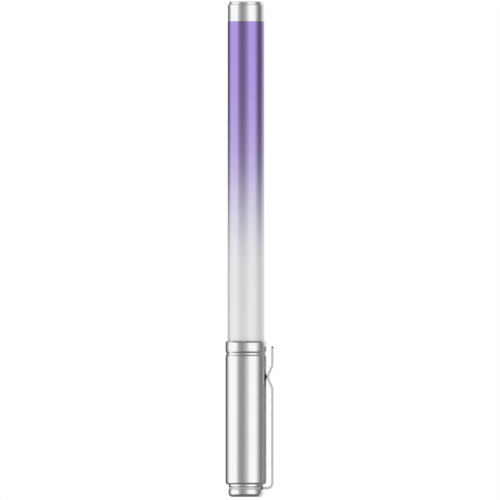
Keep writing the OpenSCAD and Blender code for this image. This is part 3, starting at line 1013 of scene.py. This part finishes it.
def make_diffuser_tube(pearl):
    """The tube, with a stepped foot that sits in the collar."""
    low, high = box_mm("diffuser_tube")
    shoulder = box_mm("head_collar")[1].z
    bore, foot_r = high.x - 1.0, high.x - 0.3
    outline = [
        (bore, low.z, 0.1), (foot_r, low.z, 0.1), (foot_r, shoulder, 0.03), (high.x, shoulder, 0.12),
        (high.x, high.z, 0.12), (bore, high.z, 0.12),
    ]
    return turned_node("diffuser_tube", "drawn", outline, pearl, facets=TURNED_FACETS)


def make_end_cap(metal):
    """The end cap: a plug with a seal groove, and a small step round its top."""
    low, high = box_mm("end_cap")
    seam = box_mm("diffuser_tube")[1].z
    plug_r = 5.66
    seal_low, seal_high, seal_r = box_mm("end_cap_o_ring")[0].z, box_mm("end_cap_o_ring")[1].z, 5.1
    side = 0.085
    step_z = high.z - 1.0
    step_r = high.x - 0.5
    relief = 0.2
    cavity_r, roof = 4.0, high.z - 2.2
    outline = [
        (0, roof), (cavity_r, roof, 0.3), (cavity_r, low.z), (plug_r, low.z, 0.2), (plug_r, seal_low - side),
        (seal_r, seal_low - side), (seal_r, seal_high + side), (plug_r, seal_high + side), (plug_r, seam, 0),
        (high.x, seam, 0.1), (high.x, step_z, 0.2), (step_r - relief, step_z, 0.03),
        (step_r - relief, step_z + relief, 0.03), (step_r, step_z + relief, 0.05), (step_r, high.z, 0.2),
        (0, high.z),
    ]
    return turned_node("end_cap", "turned", outline, metal, facets=TURNED_FACETS)


# ---------------------------------------------------------------- the studio

# Brightness round the object, as its polished metal reflects it, by azimuth in degrees: 0 is in front of
# the object, at -Y, and 90 is at its right, at +X. Two tall soft boxes stand left and front right, with a
# black panel behind each of them.
STUDIO_RING = [
    (-180, 0.20), (-156, 0.05), (-144, 0.08), (-131, 0.32), (-118, 0.66), (-106, 1.08), (-62, 1.14),
    (-52, 0.74), (-42, 0.40), (-27, 0.27), (-12, 0.33), (2, 0.50), (14, 0.80), (26, 1.10), (48, 1.14),
    (62, 0.84), (74, 0.48), (86, 0.22), (104, 0.16), (117, 0.36), (131, 0.68), (150, 0.96), (166, 0.6),
    (180, 0.20),
]
BACK_PANEL = 0.8  # brightness of a panel behind the object and above it
PANEL_ROUND, PANEL_ABOVE = (140, 168), (8, 24)  # where the panel fades in, by azimuth and by height
CEILING, UNDERSIDE = 0.19, 0.14
STEEP, LEVEL = (24, 44), (-10, 10)  # where the ring gives way to these two, and one of them to the other
SOFT_FILL = 0.80  # even light on everything that isn't a reflection


def make_world():
    """A white backdrop for the camera, soft boxes for reflections, and even light for the rest."""
    world = bpy.data.worlds.new("studio")
    bpy.context.scene.world = world
    world.use_nodes = True
    tree = world.node_tree
    tree.nodes.clear()
    direction = add(tree, "ShaderNodeTexCoord").outputs["Generated"]
    xyz = add(tree, "ShaderNodeSeparateXYZ", Vector=direction).outputs
    azimuth = maths(tree, "ARCTAN2", xyz["X"], maths(tree, "MULTIPLY", xyz["Y"], -1.0))
    round_share = ranged(tree, azimuth, 0.0, 1.0, -math.pi, math.pi)
    ring = grey_ramp(tree, round_share, [((degrees + 180) / 360, level) for degrees, level in STUDIO_RING])

    def between(value, low_deg, high_deg, of=math.sin):
        """0 below the first angle and 1 above the second, smoothly. of turns an angle into value's terms."""
        low, high = of(math.radians(low_deg)), of(math.radians(high_deg))
        return ranged(tree, value, 0.0, 1.0, low, high, smooth=True)

    steepness = maths(tree, "ABSOLUTE", xyz["Z"])
    behind = between(maths(tree, "ABSOLUTE", azimuth), *PANEL_ROUND, of=float)
    panel = maths(tree, "MULTIPLY", behind, between(xyz["Z"], *PANEL_ABOVE))
    boxes = mixed(tree, panel, ring, grey(BACK_PANEL))
    beyond = mixed(tree, between(xyz["Z"], *LEVEL), grey(UNDERSIDE), grey(CEILING))
    boxes = mixed(tree, between(steepness, *STEEP), boxes, beyond)
    ray = add(tree, "ShaderNodeLightPath").outputs
    seen = mixed(tree, ray["Is Glossy Ray"], grey(SOFT_FILL), boxes)
    seen = mixed(tree, ray["Is Camera Ray"], seen, grey(1.0))
    background = add(tree, "ShaderNodeBackground", Color=seen)
    output = tree.nodes.new("ShaderNodeOutputWorld")
    tree.links.new(background.outputs[0], output.inputs[0])


def make_floor():
    """A plain pale floor under the tail face."""
    bm = bmesh.new()
    half = 1500
    bm.faces.new([bm.verts.new((x * half, y * half, 0)) for x, y in ((-1, -1), (1, -1), (1, 1), (-1, 1))])
    floor = finish_mesh("studio_floor", bm)
    paint = finish("floor_paint", grey(0.93), 0.7, per_metre=(40, 40, 40), spread=0.01, relief=0.0)
    floor.data.materials.append(paint)
    floor.visible_glossy = False


def make_top_light():
    """A soft box over the object, for a gentle shadow at its foot."""
    lamp = bpy.data.lights.new("top_light", "AREA")
    lamp.shape = "DISK"
    lamp.size = 0.5
    lamp.energy = 1.2
    holder = bpy.data.objects.new("top_light", lamp)
    holder.location = (-0.12, -0.25, 0.75)
    holder.visible_glossy = False
    towards = Vector((0, 0, 0.09)) - holder.location
    holder.rotation_euler = towards.to_track_quat("-Z", "Y").to_euler()
    bpy.context.scene.collection.objects.link(holder)


def make_camera():
    """Level with the object and square to its clip's plane, without perspective."""
    low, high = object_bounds()
    height = high.z - low.z
    margin = 1.0096  # of the picture's height to the object's
    drop = 0.0015 * height  # the object stands a little above the picture's middle
    shift_x = 0.00015  # and a little left of it
    data = bpy.data.cameras.new("camera")
    data.type = "ORTHO"
    data.ortho_scale = height * margin
    camera = bpy.data.objects.new("camera", data)
    camera.location = ((high.x + low.x) / 2 + shift_x, -0.5, (high.z + low.z) / 2 - drop)
    camera.rotation_euler = (math.pi / 2, 0, 0)
    bpy.context.scene.collection.objects.link(camera)
    bpy.context.scene.camera = camera


def main():
    bpy.context.scene.view_settings.view_transform = "Standard"
    make_camera()
    make_world()
    make_top_light()
    make_floor()

    aluminium = satin_aluminium()
    rubber = seal_rubber()
    brass = contact_brass()
    plated = nickel()
    nylon = moulded("white_nylon", rgb(0.82, 0.82, 0.80))
    black = moulded("chip_black", rgb(0.03, 0.03, 0.033), 0.45)
    tin = tinned()

    make_tail_cap(aluminium)
    for node in ("tail_o_ring", "head_o_ring", "end_cap_o_ring"):
        seal_node(node, rubber)
    make_contact_plate(brass)
    make_contact_spring(gold_wire())

    wrap_low, wrap_high = box_mm("cell_wrap")
    make_cell_can(plated)
    disc_node("cell_core", "pressed", cell_paste(), broken=0.15)
    make_cell_seal(moulded("cell_seal_nylon", rgb(0.70, 0.67, 0.60)))
    make_cell_tip(plated)
    make_cell_wrap(shrink_wrap(wrap_low.z, wrap_high.z))

    make_barrel(aluminium)
    # the black pad under the clip's bend is painted contact shade, made in the seal rubber
    make_contact_shade_pad(rubber)
    make_clip(spring_steel(), moulded("roll_shadow", grey(0.02), 0.8))

    make_head_collar(aluminium)
    make_contact_end(brass, nylon)
    paint_node("retaining_ring", brass)
    green_mask = circuit_board("driver_mask", rgb(0.02, 0.16, 0.07), rgb(0.05, 0.30, 0.12), 700)
    disc_node("driver_board", "disc", green_mask, broken=0.05)
    make_driver_parts(black, tin, moulded("ceramic_brown", rgb(0.35, 0.22, 0.12), 0.4))
    red_sleeve = moulded("silicone_red", rgb(0.50, 0.02, 0.02))
    make_power_leads(red_sleeve, moulded("silicone_black", grey(0.02)), tin)

    for node in ("lower_holder", "upper_holder"):
        paint_node(node, nylon)
    make_led_board(circuit_board("led_mask", rgb(0.80, 0.80, 0.78), rgb(0.72, 0.70, 0.62), 450))
    make_leds(moulded("led_white", rgb(0.86, 0.86, 0.84), 0.35), phosphor())
    make_resistors(black, tin)
    disc_node("end_reflector", "disc", nylon)
    tube_low, tube_high = box_mm("diffuser_tube")
    make_diffuser_tube(pearl_diffuser(tube_low.z, tube_high.z))
    make_end_cap(aluminium)


main()
